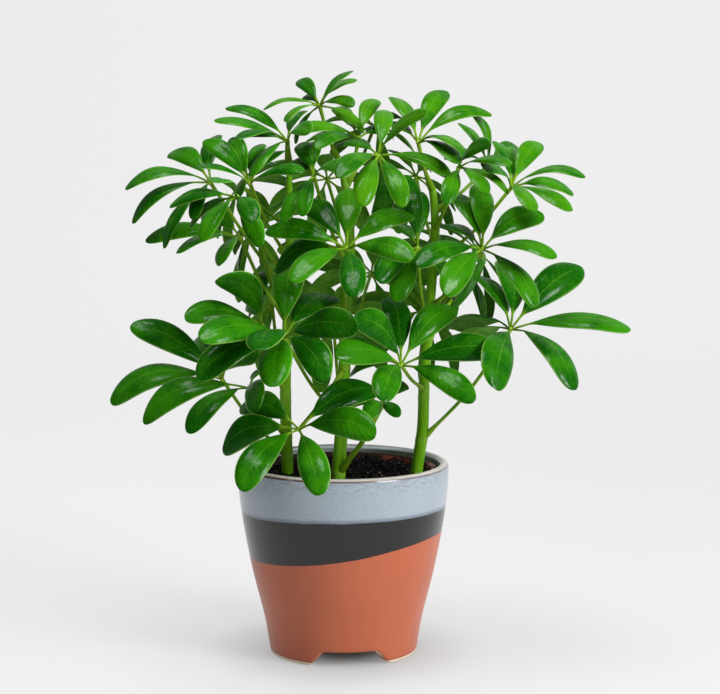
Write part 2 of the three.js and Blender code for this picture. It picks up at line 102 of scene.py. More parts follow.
# %% [markdown]
# ## Sums made of nodes
#
# A finish is mostly arithmetic: a mask times a colour, a wave plus some noise. Node by node that is
# hard to read, so one small class wraps an output socket and overloads the operators, and a sum written
# in Python adds its Math nodes by itself. Every other node comes from one method, which sets the node's
# own settings first and its sockets after them.

# %% A socket that can be used in sums, and a finish under construction
def math_methods(operation):
    """A method that adds one Math node, as in a - 1, and its reflected form, as in 1 - a."""
    def method(wire, other):
        return wire.finish.maths(operation, wire, other)

    def reflected(wire, other):
        return wire.finish.maths(operation, other, wire)
    return method, reflected


class Wire:
    """An output socket. a + b, 1 - a and the like add a Math node and give its output."""

    def __init__(self, finish, socket):
        self.finish, self.socket = finish, socket

    def __abs__(self):
        return self.finish.maths("ABSOLUTE", self)

    __add__, __radd__ = math_methods("ADD")
    __sub__, __rsub__ = math_methods("SUBTRACT")
    __mul__, __rmul__ = math_methods("MULTIPLY")
    __truediv__, __rtruediv__ = math_methods("DIVIDE")
    __pow__, __rpow__ = math_methods("POWER")


# The Mix node has its sockets once for every kind of value. These are the ones for colours.
MIX_SHARE, MIX_FIRST, MIX_SECOND, MIX_RESULT = 0, 6, 7, 2


class Finish:
    """A material that is built up node by node and ends in one Principled BSDF. Its place is the
    point on the object, in metres in the frame."""

    def __init__(self, name):
        self.material = bpy.data.materials.new(name)
        self.material.use_nodes = True
        self.tree = self.material.node_tree
        self.tree.nodes.clear()
        self.place = self.node("TexCoord", output="Object")

    def node(self, kind, sockets=None, output=0, **settings):
        """Any node: its settings, then its sockets, each a number, a tuple or a Wire."""
        node = self.tree.nodes.new("ShaderNode" + kind)
        for name, value in settings.items():
            setattr(node, name, value)
        for name, value in (sockets or {}).items():
            if isinstance(value, Wire):
                self.tree.links.new(value.socket, node.inputs[name])
            else:
                node.inputs[name].default_value = value
        return Wire(self, node.outputs[output])

    def maths(self, operation, *values):
        """One Math node, with its values in order."""
        return self.node("Math", dict(enumerate(values)), operation=operation)

    def step(self, value, low, high):
        """0 below low, 1 above high, and an S between them. With high below low it falls instead."""
        sockets = {"Value": value, "From Min": low, "From Max": high}
        return self.node("MapRange", sockets, interpolation_type="SMOOTHSTEP")

    def band(self, value, rise, fall):
        """A step up over the pair rise, times a step down over the pair fall."""
        return self.step(value, *rise) * self.step(value, *fall)

    def mix(self, share, first, second):
        """first where share is 0, second where it is 1, each a colour or the three numbers of one."""
        first, second = (srgb(*c) if isinstance(c, tuple) and len(c) == 3 else c for c in (first, second))
        sockets = {MIX_SHARE: share, MIX_FIRST: first, MIX_SECOND: second}
        return self.node("Mix", sockets, MIX_RESULT, data_type="RGBA")

    def coats(self, colour, *coats):
        """Colours laid over one another, each given as its share and the colour."""
        for share, coat in coats:
            colour = self.mix(share, colour, coat)
        return colour

    def noise(self, scale, detail=2.0, roughness=0.5, squeeze=None):
        """A soft noise from 0 to 1 around 0.5; scale is in waves a metre. squeeze multiplies the
        place part by part first, so a small factor draws the noise out that way."""
        where = self.node("Mapping", {"Vector": self.place, "Scale": squeeze}) if squeeze else self.place
        sockets = {"Vector": where, "Scale": scale, "Detail": detail, "Roughness": roughness}
        return self.node("TexNoise", sockets)

    def parts(self, vector):
        """The three numbers of a vector."""
        separate = self.node("SeparateXYZ", {"Vector": vector})
        return [Wire(self, socket) for socket in separate.socket.node.outputs]

    def millimetres(self):
        """The three numbers of the place, in millimetres from the pot's axis."""
        x, y, z = self.parts(self.place)
        return (x - float(AXIS[0])) * 1000, (y - float(AXIS[1])) * 1000, z * 1000

    def attribute(self, name):
        """The three numbers of a piece's own vector attribute."""
        return self.parts(self.node("Attribute", output="Vector", attribute_name=name))

    def done(self, colour, roughness, constants, bump=None, varying=None):
        """The Principled BSDF: constants on its own sockets, what varies through links. bump is a
        height, the distance in metres that it stands for, and a strength."""
        sockets = {**constants, "Base Color": colour, "Roughness": roughness, **(varying or {})}
        if bump:
            sockets["Normal"] = self.node("Bump", dict(zip(("Height", "Distance", "Strength"), bump)))
        shader = self.node("BsdfPrincipled", sockets)
        output = self.tree.nodes.new("ShaderNodeOutputMaterial")
        self.tree.links.new(shader.socket, output.inputs["Surface"])
        return self.material


def srgb(red, green, blue):
    """A colour as the eye reads it from a photo, 0 to 255, as the linear value that light uses."""
    c = np.array([red, green, blue]) / 255
    linear = np.where(c <= 0.04045, c / 12.92, ((c + 0.055) / 1.055) ** 2.4)
    return (*linear.tolist(), 1.0)


print("finish kit ready")

# %% [markdown]
# ## Surfaces on a grid
#
# Every shape here is a grid of points with two directions: along and around, or along and across. The
# points of a grid are worked out at once as arrays, and the faces only depend on how many rows and
# columns there are. A helper gives the faces, another closes an open end, and a third puts everything
# into a mesh that rides on the one body.

# %% Faces of grids, and a piece from its points and faces
def sleeve_faces(rows, sides, first=0):
    """The quads of rows rings with the same number of sides, each closed round."""
    i, j = np.meshgrid(np.arange(rows - 1), np.arange(sides), indexing="ij")
    a, b = i * sides + j, i * sides + (j + 1) % sides
    return (first + np.stack([a, b, b + sides, a + sides], -1).reshape(-1, 4)).tolist()


def fan_faces(ring, pole, outward=True):
    """The triangles from a ring of points, given by their numbers, to the pole that closes it."""
    after = np.roll(ring, -1)
    order = [ring, after] if outward else [after, ring]
    return np.stack([*order, np.full(len(ring), pole)], -1).tolist()


def make_piece(name, points, faces, material, nodes, values=None, levels=0, crease_angle=None):
    """A mesh of points in mm from the pot's axis, in place of CAD nodes. values holds the piece's
    own attributes: {name: three numbers for each point}."""
    mesh = bpy.data.meshes.new(name)
    mesh.from_pydata(to_frame(points).tolist(), [], faces)
    mesh.shade_smooth()
    for label, rows in (values or {}).items():
        attribute = mesh.attributes.new(label, "FLOAT_VECTOR", "POINT")
        attribute.data.foreach_set("vector", np.asarray(rows, np.float32).ravel())
    if crease_angle:
        mesh.set_sharp_from_angle(angle=np.radians(crease_angle))
    mesh.materials.append(material)
    piece = bpy.data.objects.new(name, mesh)
    scene.collection.objects.link(piece)
    if levels:
        finer = piece.modifiers.new("finer", "SUBSURF")
        finer.levels = finer.render_levels = levels
    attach(piece, "root")
    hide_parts(*nodes)


def smooth_path(points, count):
    """A centripetal Catmull-Rom curve through points. The pace over each gap is the root of the gap's
    length, the slope at a point is the sum of the slopes on both sides less the one across both, and
    a cubic joins the points."""
    points = np.asarray(points, float)
    p = np.vstack([2 * points[0] - points[1], points, 2 * points[-1] - points[-2]])
    pace = np.linalg.norm(np.diff(p, axis=0), axis=1)[:, None] ** 0.5
    slope = np.diff(p, axis=0) / pace
    bend = slope[:-1] + slope[1:] - (p[2:] - p[:-2]) / (pace[:-1] + pace[1:])
    u = np.linspace(0, len(points) - 1, count)
    k = np.minimum(u.astype(int), len(points) - 2)
    s = (u - k)[:, None]
    start, end, gap = points[k], points[k + 1], pace[k + 1]
    rise = s * s * (3 - 2 * s)
    lift = (s**3 - 2 * s**2 + s) * bend[k] + (s**3 - s**2) * bend[k + 1]
    return start + (end - start) * rise + lift * gap


def circle(count):
    """The angles of points that stand evenly round a circle."""
    return np.linspace(0, 2 * np.pi, count, endpoint=False)


def unit(vectors):
    """Each vector divided by its length."""
    return vectors / np.linalg.norm(vectors, axis=-1, keepdims=True)


def turned(rows, sides):
    """A profile of radius and height carried round the axis: (radius cos a, radius sin a, height)."""
    rows = np.asarray(rows, float)
    a = circle(sides)
    flat = np.broadcast_to(rows[:, 1:2], (len(rows), sides))
    return np.stack([rows[:, 0:1] * np.cos(a), rows[:, 0:1] * np.sin(a), flat], -1)


def sweep(path, radii, sides, steady):
    """Rings round a path: centre + radius (side cos a + up sin a), where side is the steady
    direction with its part along the path taken out, and up stands square to both."""
    along = unit(np.gradient(path, axis=0))
    side = unit(steady - along * (along @ steady)[:, None])
    up = np.cross(along, side)
    a = circle(sides)
    round_ = side[:, None] * np.cos(a)[:, None] + up[:, None] * np.sin(a)[:, None]
    return path[:, None] + np.asarray(radii)[:, None, None] * round_


# %% [markdown]
# ## The cover pot
#
# The real pot is thrown on a wheel: its wall bellies out from the foot, runs nearly upright below the
# lip, and ends in a round lip, a little thicker than the wall. Afterwards the foot ring was cut away
# between three feet, in low arches with soft glazed edges. A turned profile alone can't have the arches,
# and cutting them with a boolean leaves hard edges and untidy faces. So the pot stays one grid, profile
# by angle, and each point of the foot that lies under the arch line is lifted to it with a soft maximum,
# which rounds the edge as the glaze does.

# %% The profile of the pot and the line of its arches
POT_OUTLINE = [[51.6, 1.5], [55.2, 23.5], [63.6, 58], [70.1, 92.5], [73.2, 118], [73.5, 130]]
POT_WALL = 5.0
WALL_ROWS, INNER_WALL_ROWS = 60, 50
LIP_CENTRE, LIP_RADIUS = (70.2, 130.7), 3.3
LIP_ROWS, LIP_START = 13, 0.15
INNER_FLOOR, UNDER_FLOOR = 19.0, 13.2
UNDERSIDE = [[0, UNDER_FLOOR], [20, UNDER_FLOOR], [36, UNDER_FLOOR], [41.7, UNDER_FLOOR], [42.5, 12.2],
             [42.9, 8], [43.3, 4], [43.9, 0.9], [44.7, 0.1], [47.1, 0], [50.1, 0], [51, 0.12], [51.4, 0.55]]
ARCH_AZIMUTHS = (-84, 36, 156)
ARCH_TOP = 10.9
FOOT_DEPTH = 3.0
ARCH_FLAT, ARCH_END = 16.8, 34.4
EDGE_ROUNDING = 1.8
POT_SIDES = 288


def smoothstep(value, low, high):
    """3 t^2 - 2 t^3, where t goes from 0 at low to 1 at high and stays within them."""
    t = np.clip((value - low) / (high - low), 0, 1)
    return t * t * (3 - 2 * t)


def arch_line(angle):
    """The height of the foot's lower edge: the arch's top near each arch's middle, and below the
    floor at the feet, with an S between."""
    away = [np.abs((angle - np.radians(a) + np.pi) % (2 * np.pi) - np.pi) for a in ARCH_AZIMUTHS]
    arc = POT_OUTLINE[0][0] * np.min(away, axis=0)
    return ARCH_TOP - (ARCH_TOP + FOOT_DEPTH) * smoothstep(arc, ARCH_FLAT, ARCH_END)


def pot_profile():
    """The pot's section from the middle of its underside, round the foot, up the wall, over the lip
    and down to the middle of its inner floor, as radius and height. With it come two numbers for the
    finish: over, which goes from 0 outside to 1 inside across the lip, and underside."""
    wall = smooth_path(POT_OUTLINE, WALL_ROWS)
    a = np.linspace(LIP_START, np.pi - LIP_START, LIP_ROWS)
    lip = LIP_CENTRE + LIP_RADIUS * np.stack([np.cos(a), np.sin(a)], -1)
    inner_wall = wall[::-1][:INNER_WALL_ROWS] - [POT_WALL, 0]
    foot = inner_wall[-1, 0]
    inside = [[foot - 1.2, INNER_FLOOR + 1.6], [foot - 4, INNER_FLOOR + 0.2],
              [30, INNER_FLOOR], [12, INNER_FLOOR], [0, INNER_FLOOR]]
    rows = np.vstack([UNDERSIDE, wall, lip, inner_wall, inside])
    count = np.arange(len(rows))
    over = np.clip((count - len(UNDERSIDE) - len(wall)) / (len(lip) - 1), 0, 1)
    underside = (count < len(UNDERSIDE)).astype(float)
    return rows, np.stack([over, underside, np.zeros(len(rows))], -1)


profile, zones = pot_profile()
pot_points = turned(profile, POT_SIDES)
level = profile[:, 1:2]
over = arch_line(circle(POT_SIDES)) - level
lifted = level + 0.5 * (over + np.sqrt(over**2 + EDGE_ROUNDING**2))
pot_points[..., 2] = np.where(level > UNDER_FLOOR - 0.5, level, lifted)
pot_zones = np.broadcast_to(zones[:, None], pot_points.shape)
print("pot grid:", pot_points.shape, "feet reach down to", round(float(pot_points[..., 2].min()), 3), "mm")

# %% [markdown]
# ## The glazes
#
# Three glazes were poured one over the other: terracotta below, charcoal in a tilted band, and a
# speckled blue grey over the lip and the inside. Inside the pot the blue grey is painted much paler
# than outside, as painted light for the light that falls into the pot. The edges of the bands are
# slow waves round the pot, because the pot was dipped at an angle by hand, so each edge is a height
# that depends on the direction only, written with the cosine and sine of the angle. Where the glaze
# runs over the lip it is thin: the crest is a warm pale grey, partly the thin glaze and partly a
# painted highlight along the lip, and the clay shows through as a brown-red line on both sides of it,
# broken here and there and stronger on the left. The foot is wiped clean and shows pale clay.

# %% The pot's finish
BLUE_EDGE = (101.6, 1.9, -2.4, -0.1, 0.1)
TERRACOTTA_EDGE = (73.5, 8.8, -6.3, 2.8, -1.0)
# Where the lip's crest is painted pale: partly the thin glaze, partly a painted highlight along the lip.
LIP_CREST_AND_HIGHLIGHT = ((0.12, 0.22), (0.66, 0.56))
OUTER_LINE, INNER_LINE = ((0.02, 0.08), (0.25, 0.15)), ((0.56, 0.64), (0.78, 0.70))
POOL_UNDER_EDGE = ((-0.3, 0.3), (3.4, 0.6))
WIPED_FOOT, FOOT_BEAD = (2.7, 2.1), ((2.4, 2.7), (3.9, 2.9))


def band_edge(cosine, sine, terms):
    """Height of a band's edge: a + b cos + c sin + d cos 2 + e sin 2, from the direction alone."""
    a, b, c, d, e = terms
    return a + b * cosine + c * sine + d * (cosine * cosine - sine * sine) + 2 * e * cosine * sine


def make_glaze():
    g = Finish("banded_glaze")
    x, y, z = g.millimetres()
    r = (x * x + y * y + 0.01) ** 0.5
    cosine, sine = x / r, y / r
    over_lip, underside = g.attribute("zone")[:2]
    wobble = (g.noise(60, 3) - 0.5) * 1.3
    above = z + wobble - band_edge(cosine, sine, BLUE_EDGE)
    inside = g.step(over_lip, 0.55, 0.75)
    blue = g.maths("MAXIMUM", g.step(above, -0.35, 0.45), inside)
    dark = g.step(z + wobble * 0.6 - band_edge(cosine, sine, TERRACOTTA_EDGE), -0.25, 0.25)
    pool = g.band(above, *POOL_UNDER_EDGE) * (1 - inside)
    cloud = g.noise(30, 3, 0.5)
    grain = g.noise(1300, 3, 0.75)
    dark_grain = g.step(grain, 0.47, 0.66)
    run = g.noise(480, 3, 0.6, squeeze=(0.4, 0.4, 1.2))
    streaks = g.step(run, 0.46, 0.66) * g.step(z, 119, 130) * (1 - inside)
    pale_grain = g.step(g.noise(800, 2, 0.7), 0.55, 0.68)
    drips = g.noise(110, 2, 0.5, squeeze=(1.0, 1.0, 0.12))

    terracotta = g.coats(
        g.mix(cloud, (176, 92, 62), (190, 102, 70)),
        (dark_grain * 0.10, (120, 58, 40)),
        (g.step(drips, 0.42, 0.76) * 0.15, (148, 74, 50)))
    charcoal = g.coats(g.mix(cloud, (20, 20, 21), (28, 27, 27)), (pale_grain * 0.10, (70, 69, 68)))
    blue_grey = g.coats(
        g.mix(cloud, (152, 163, 174), (165, 175, 185)),
        (pale_grain * 0.14, (200, 208, 216)),
        (dark_grain * (0.42 + pool * 0.3), (104, 116, 134)),
        (pool * 0.55, (66, 80, 102)),
        (streaks * 0.36, (98, 100, 112)),
        # painted light: the inner wall is painted much paler than the glaze outside, for the light that
        # falls into the pot
        (inside * 0.85, (220, 227, 238)))

    # The crest's warm pale grey is partly the thin glaze and partly a painted highlight along the lip.
    crest_and_highlight = g.band(over_lip, *LIP_CREST_AND_HIGHLIGHT)
    thin = g.band(over_lip, *OUTER_LINE) + g.band(over_lip, *INNER_LINE)
    broken = g.step(g.noise(90, 3), 0.26, 0.42) * (0.55 + 0.4 * g.step(cosine, 0.9, -0.8))
    low = z + wobble * 0.4
    foot = g.step(low, *WIPED_FOOT) * (1 - inside)
    bead = g.band(low, *FOOT_BEAD) * (1 - inside)
    clay = g.maths("MAXIMUM", foot, g.step(underside, 0.4, 0.6) * g.step(z, 3.0, 9.0))
    colour = g.coats(
        g.mix(dark, terracotta, charcoal),
        (blue, blue_grey),
        (crest_and_highlight * 0.85, (206, 196, 188)),
        (thin * broken, (84, 42, 34)),
        (bead * 0.35, (104, 48, 32)),
        (clay, (222, 204, 178)))

    roughness = 0.36 - 0.06 * dark + 0.5 * clay
    relief = cloud * 0.3 + drips * 0.25 + grain * 0.05 - 0.25 * dark * (1 - blue)
    constants = {"IOR": 1.5, "Specular IOR Level": 0.30, "Coat Roughness": 0.14}
    coat = {"Coat Weight": 0.06 + 0.34 * dark}
    return g.done(colour, roughness, constants, (relief, 0.0004, 0.6), coat)


pot_faces = sleeve_faces(*pot_points.shape[:2])
make_piece("glazed_pot", pot_points.reshape(-1, 3), pot_faces, make_glaze(), ["pot"],
           {"zone": pot_zones.reshape(-1, 3)})
print("pot:", len(pot_faces), "faces")

# %% [markdown]
# ## The nursery pot
#
# The thin plastic liner that the plant was grown in shows only as its lip, inside the lip of the cover
# pot. It is a turned profile, so a grid of profile by angle does it. Its terracotta colour is darkened
# to near black, and duller, over most of it: the plastic shows its own colour only in a patch at the
# back, one on the right and one along the front, where noise within three windows leaves it bare.

# %% The liner
LINER_PROFILE = [[0, 19.3], [30, 19.3], [44, 19.3], [46, 20.5], [62, 122.5], [65.2, 122.5],
                 [65.8, 123.1], [65.8, 128.6], [65.5, 129.3], [64.8, 129.5], [62.2, 129.5],
                 [61.5, 129.2], [61.2, 128.4], [45, 22.2], [43.5, 21.3], [30, 21.3], [0, 21.3]]
LINER_SIDES = 144
LINER_CREASE = 50


def make_liner_plastic():
    g = Finish("liner_plastic")
    across, deep, height = g.millimetres()
    back_patch = g.band(across, (26, 31), (50, 45)) * g.step(deep, 20, 32)
    back_patch = back_patch * g.step(height, 128.9, 128.3)
    right_patch = g.step(across, 56, 58) * g.step(deep, -16, -8) * g.step(deep, 22, 12)
    front_patch = g.step(deep, -52, -58) * g.step(across, -36, -30) * g.step(across, 0, -7)
    bare = back_patch + right_patch + front_patch
    # The plastic is darkened to near black and made duller and rougher, except where noise opens it within
    # the three windows.
    darkened = 1 - bare * g.step(g.noise(110, 4, 0.65), 0.36, 0.5)
    plastic_colour = g.mix(g.noise(300, 2), (142, 66, 46), (160, 80, 58))
    colour = g.mix(darkened * 0.94, plastic_colour, (26, 18, 15))
    relief = g.noise(900, 3) * (0.4 + darkened)
    return g.done(colour, 0.5 + 0.35 * darkened, {"IOR": 1.46}, (relief, 0.0005, 0.5))


liner_points = turned(LINER_PROFILE, LINER_SIDES)
make_piece("liner_shell", liner_points.reshape(-1, 3), sleeve_faces(*liner_points.shape[:2]),
           make_liner_plastic(), ["nursery_pot"], crease_angle=LINER_CREASE)
print("liner:", liner_points.shape)

# %% [markdown]
# ## The stems' paths
#
# Three young stems stand in the soil. Their paths are worked out before the soil, because its crumbs
# keep clear of them. A path is a smooth curve through the points that the solid was swept along, and
# the radii are spread evenly over it.

# %% Paths of the stems
ROOT_DEPTH = 98
STEMS = {
    "left": ([[-38, 0, ROOT_DEPTH], [-39, 0, 127], [-40, -2, 177], [-39, -4, 219], [-37, 0, 261],
              [-37, 2, 302], [-37, 2, 342]], [4.4, 4.1, 3.4, 2.9, 1.9]),
    "middle": ([[-3, -28, ROOT_DEPTH], [-3, -28, 130], [-1, -28, 160], [1, -26, 201], [2, -22, 249],
                [5, -14, 282], [2, -6, 323], [-2, -3, 342]], [4.8, 4.5, 3.9, 3.2, 2.2]),
    "right": ([[50, -8, ROOT_DEPTH], [51, -8, 127], [55, -8, 157], [56, -10, 192], [60, -12, 248],
               [63, -12, 299], [61, -12, 324]], [4.4, 4.2, 3.7, 3.2, 2.4]),
}
STEM_ROWS, STEM_SIDES = 160, 20
stem_paths = {name: smooth_path(points, STEM_ROWS) for name, (points, radii) in STEMS.items()}


def on_stem(name, height):
    """The point of a stem's middle line at a height."""
    path = stem_paths[name]
    return np.array([np.interp(height, path[:, 2], path[:, k]) for k in range(3)])


print("stems:", {name: round(float(path[-1, 2]), 1) for name, path in stem_paths.items()})

# %% [markdown]
# ## The soil
#
# Potting soil is dark and made of crumbs of every size. The ground between them is a disc on a grid of
# radius by angle, raised and lowered by the same slow waves as the solid and by finer random waves.
# The crumbs are one lumpy ball with few faces, repeated with its own size, stretch and turn each time,
# half sunk in the ground. Real particles would look alike but they don't leave Blender as a mesh.

# %% Ground and crumbs
SOIL_TOP, SOIL_BUMP, SOIL_FLOOR = 125.4, 1.3, 21.6
SOIL_RADIUS, SOIL_FLOOR_RADIUS = 60.3, 44.0
SOIL_RINGS, SOIL_SIDES = 64, 160
FINE_COUNT, FINE_BUMP = 12, 0.28
chance = np.random.default_rng(7)
FINE_WAVES = np.stack([chance.uniform(0, np.pi, FINE_COUNT), chance.uniform(0.7, 2.2, FINE_COUNT),
                       chance.uniform(0, 2 * np.pi, FINE_COUNT)], -1)


def ground_height(x, y):
    """The solid's slow waves, and twelve finer ones, sin(waves (x cos way + y sin way) + phase)."""
    z = np.sin(0.21 * x + 0.5) * np.cos(0.17 * y) + 0.6 * np.sin(0.13 * y - 0.29 * x)
    z = SOIL_TOP + SOIL_BUMP * z
    for way, waves, phase in FINE_WAVES:
        z = z + FINE_BUMP * np.sin(waves * (x * np.cos(way) + y * np.sin(way)) + phase)
    return z


ground_radii = SOIL_RADIUS * np.linspace(1, 0, SOIL_RINGS)
ground = turned(np.stack([ground_radii, ground_radii], -1), SOIL_SIDES)
ground[..., 2] = ground_height(ground[..., 0], ground[..., 1])
skirt = turned([[0, SOIL_FLOOR], [SOIL_FLOOR_RADIUS, SOIL_FLOOR]], SOIL_SIDES)
soil_points = np.vstack([skirt, ground])
soil_faces = sleeve_faces(*soil_points.shape[:2])

# %% Crumbs: one lumpy ball, repeated
CRUMB_COUNT, CRUMB_ROWS, CRUMB_SIDES = 900, 5, 6
CRUMB_SIZES, CRUMB_DENT, CRUMB_STRETCH = (0.6, 1.9), 0.25, (0.6, 1.35)
CRUMB_MARGIN, CRUMB_RISE = 1.5, 0.25
STEM_FEET = np.array([points[1][:2] for points, radii in STEMS.values()])
STEM_SPACE = (6, 18)


def ball(rows, sides):
    """A grid of latitude by longitude on the unit ball, with its two poles as rings of one point."""
    up = np.linspace(-np.pi / 2, np.pi / 2, rows)[:, None]
    round_ = circle(sides)
    return np.stack([np.cos(up) * np.cos(round_), np.cos(up) * np.sin(round_),
                     np.broadcast_to(np.sin(up), (rows, sides))], -1)


def crumbs():
    """Places spread evenly over the disc but clear of the stems, sizes mostly small and smallest
    next to a stem, every ball stretched and dented."""
    distance = (SOIL_RADIUS - CRUMB_MARGIN) * np.sqrt(chance.uniform(0, 1, CRUMB_COUNT))
    turn = chance.uniform(0, 2 * np.pi, CRUMB_COUNT)
    x, y = distance * np.cos(turn), distance * np.sin(turn)
    away = np.linalg.norm(np.stack([x, y], -1)[:, None] - STEM_FEET, axis=-1).min(-1)
    free = away > STEM_SPACE[0]
    x, y, away = x[free], y[free], away[free]
    size = CRUMB_SIZES[0] + CRUMB_SIZES[1] * chance.uniform(0, 1, len(x)) ** 3
    size = size * (0.3 + 0.7 * smoothstep(away, *STEM_SPACE))
    middle = np.stack([x, y, ground_height(x, y) + CRUMB_RISE * size], -1)
    form = ball(CRUMB_ROWS, CRUMB_SIDES).reshape(-1, 3)
    dent = 1 + CRUMB_DENT * chance.standard_normal((len(x), len(form), 1))
    stretch = chance.uniform(*CRUMB_STRETCH, (len(x), 1, 3))
    return middle[:, None] + size[:, None, None] * form * dent * stretch


crumb_points = crumbs()
first = soil_points.shape[0] * soil_points.shape[1]
one_crumb = np.array(sleeve_faces(CRUMB_ROWS, CRUMB_SIDES))
starts = first + np.arange(len(crumb_points))[:, None, None] * crumb_points.shape[1]
crumb_faces = (starts + one_crumb).reshape(-1, 4).tolist()
print("soil:", len(soil_faces), "faces of ground,", len(crumb_faces), "of crumbs")

# %% The soil's finish
def make_soil_earth():
    g = Finish("potting_soil")
    grain = g.noise(420, 4, 0.7)
    patch = g.noise(90, 3, 0.6)
    colour = g.coats(
        g.mix(g.step(patch, 0.35, 0.65), (4, 3, 3), (15, 10, 9)),
        (g.step(grain, 0.58, 0.74) * 0.28, (70, 44, 36)),
        (g.step(g.noise(700, 2), 0.67, 0.72) * 0.8, (176, 158, 148)))
    relief = grain + 0.5 * g.noise(1400, 2)
    roughness = 0.9 - 0.35 * g.step(grain, 0.6, 0.8)
    return g.done(colour, roughness, {"IOR": 1.4, "Specular IOR Level": 0.25}, (relief, 0.0012, 0.9))


make_piece("soil_crumbs", np.vstack([soil_points.reshape(-1, 3), crumb_points.reshape(-1, 3)]),
           soil_faces + crumb_faces, make_soil_earth(), ["soil"])

# %% [markdown]
# ## Where the leaves are
#
# Each leaf has a stem, the height where its stalk leaves that stem, its hub, from which its leaflets
# spread, and the length of most of its leaflets. A leaflet is given as clock and lean: clock is the
# direction of its tip as seen from the front, counted anticlockwise from the right, and lean is how far
# it comes forward. A third number is its own length where that differs, and a fourth the arch of a
# leaflet that bends more or less than most. The leaves at the back are hidden from the camera, so they
# have an even whorl instead: how many leaflets, and how far it is turned.

# %% The leaves
LEAVES = {
    "front_low": ("middle", 202, (-28, -86, 170), 66, [(201, -31), (222, 44), (295, 57), (171, -50),
        (4, 41), (23, -33)]),
    "front_left": ("middle", 166, (-38, -66, 228), 70, [(179, 78), (202, 33), (175, 42), (87, -49),
        (22, -48), (13, 45), (324, 60), (259, 70)]),
    "front_right": ("right", 186, (39, -62, 209), 62, [(164, 44), (131, 40), (98, -47), (43, -34),
        (9, 3, 67), (338, 36), (229, 71), (199, -55)]),
    "front_mid": ("middle", 238, (3, -72, 287), 58, [(169, -19), (132, -51), (87, -49), (25, -33),
        (355, 43), (280, 62), (208, 48), (199, -28)]),
    "right_mid": ("right", 242, (93, -48, 285), 58, [(114, -47), (78, -46), (27, -33), (356, 38),
        (313, 33), (251, -39), (224, 50), (190, 38), (172, -58)]),
    "top_mid": ("middle", 296, (24, -46, 347), 52, [(170, -56), (206, 55), (250, 50), (296, 46),
        (344, 18), (43, 35), (82, -54), (268, -28, 50)]),
    "far_right": ("right", 150, (114, -26, 229), 76, [(128, -56), (88, -57), (37, -30), (1, 8, 81, 0.125),
        (318, 49, 76, 0.2), (244, 63), (192, -62), (218, -55)]),
    "top_right": ("right", 322, (51, -22, 355), 56, [(118, -51), (59, -43), (21, -16, 56, 0.2), (352, 61),
        (332, 61), (159, -58)]),
    "top_back": ("middle", 326, (11, 0, 358), 48, [(128, -56), (63, -52), (172, 31), (186, -36),
        (207, 50), (17, -51)]),
    "top_tip": ("middle", 340, (-16, 6, 380), 38, [(184, 3, 39, 0.19), (132, -51), (47, -29), (33, 37),
        (360, 51), (206, 49), (157, -70), (236, -12, 32), (316, -8, 36)]),
    "top_left": ("left", 340, (-38, 0, 356), 50, [(164, 4, 52, 0.12), (152, -14), (177, 49), (225, 50),
        (11, 74), (64, -64), (180, -20, 40)]),
    "upper_left": ("left", 274, (-62, -34, 328), 46, [(138, -21), (106, -42), (79, -39), (45, -49),
        (13, 34), (162, 25, 40)]),
    "upper_left_front": ("left", 260, (-69, -58, 320), 46, [(139, 68), (211, -31), (232, 42), (313, 65),
        (299, 41), (188, -25, 52)]),
    "left_high": ("left", 250, (-90, -12, 328), 56, [(184, 7, 58, 0.21), (150, -48), (90, -56),
        (207, 7, 60, 0.21), (235, 17), (250, 58, 46)]),
    "left_mid": ("left", 232, (-70, -8, 290), 56, [(191, 44), (236, 73), (318, -72), (181, 6, 65),
        (130, -56)]),
    "low_inner": ("middle", 131, (27, -58, 183), 36, [(335, 75), (199, 69), (190, -41), (24, -58)]),
    "left_low": ("left", 138, (-83, -14, 193), 70, [(148, 3, 73, 0.11), (190, 9, 78, 0.21), (41, 58),
        (149, -63), (95, -67)]),
    "left_front": ("left", 152, (-63, -40, 191), 60, [(197, 9, 75, 0.21), (213, 41, 60, 0.2), (319, 80),
        (11, -77)]),
    "left_back": ("left", 182, (-55, -20, 231), 60, [(170, 32), (128, 42), (97, -56), (132, -74),
        (23, -55)]),
    "inner_right": ("right", 222, (50, -34, 285), 52, [(216, 51), (245, 46), (305, -63), (306, -28),
        (146, -68), (99, -8, 50), (76, -34, 44)]),
    "right_high": ("right", 272, (114, -22, 325), 52, [(51, -44), (9, 22, 52, 0.2), (339, 40), (354, -30),
        (309, 71), (104, -53), (147, 61), (67, -62)]),
    "right_inner": ("right", 296, (77, -48, 339), 44, [(41, 57), (5, 42), (317, 60), (246, 56), (70, -74),
        (333, -5, 38)]),
    "right_back": ("right", 308, (100, 14, 339), 46, [(122, -42), (101, 39), (22, -53), (173, -53),
        (88, 8, 34)]),
    "heart": ("middle", 270, (-19, -42, 333), 44, [(116, -57), (96, -59), (31, 66), (235, 38), (256, 55),
        (158, -65)]),
}
WHORLS = {
    "back_low_left": ("left", 176, (-52, 62, 238), 58, (7, 10)),
    "back_low_mid": ("middle", 168, (-8, 76, 226), 56, (6, 40)),
    "back_low_right": ("right", 180, (58, 62, 234), 58, (7, 70)),
    "back_left": ("left", 230, (-62, 54, 292), 54, (7, 25)),
    "back_mid_left": ("left", 220, (-40, 84, 264), 56, (6, 55)),
    "back_mid": ("middle", 224, (20, 92, 258), 56, (7, 0)),
    "back_mid_right": ("right", 212, (82, 70, 268), 56, (7, 35)),
    "back_right": ("right", 226, (96, 50, 276), 54, (7, 15)),
    "back_high_left": ("left", 296, (-72, 46, 324), 50, (7, 60)),
    "back_high_mid": ("middle", 288, (-12, 66, 328), 52, (7, 20)),
    "back_high_right": ("right", 284, (52, 64, 330), 50, (7, 45)),
    "back_top": ("middle", 324, (22, 40, 366), 42, (6, 30)),
}
STALK_BENDS = {"left_high": (0, 12, 3)}
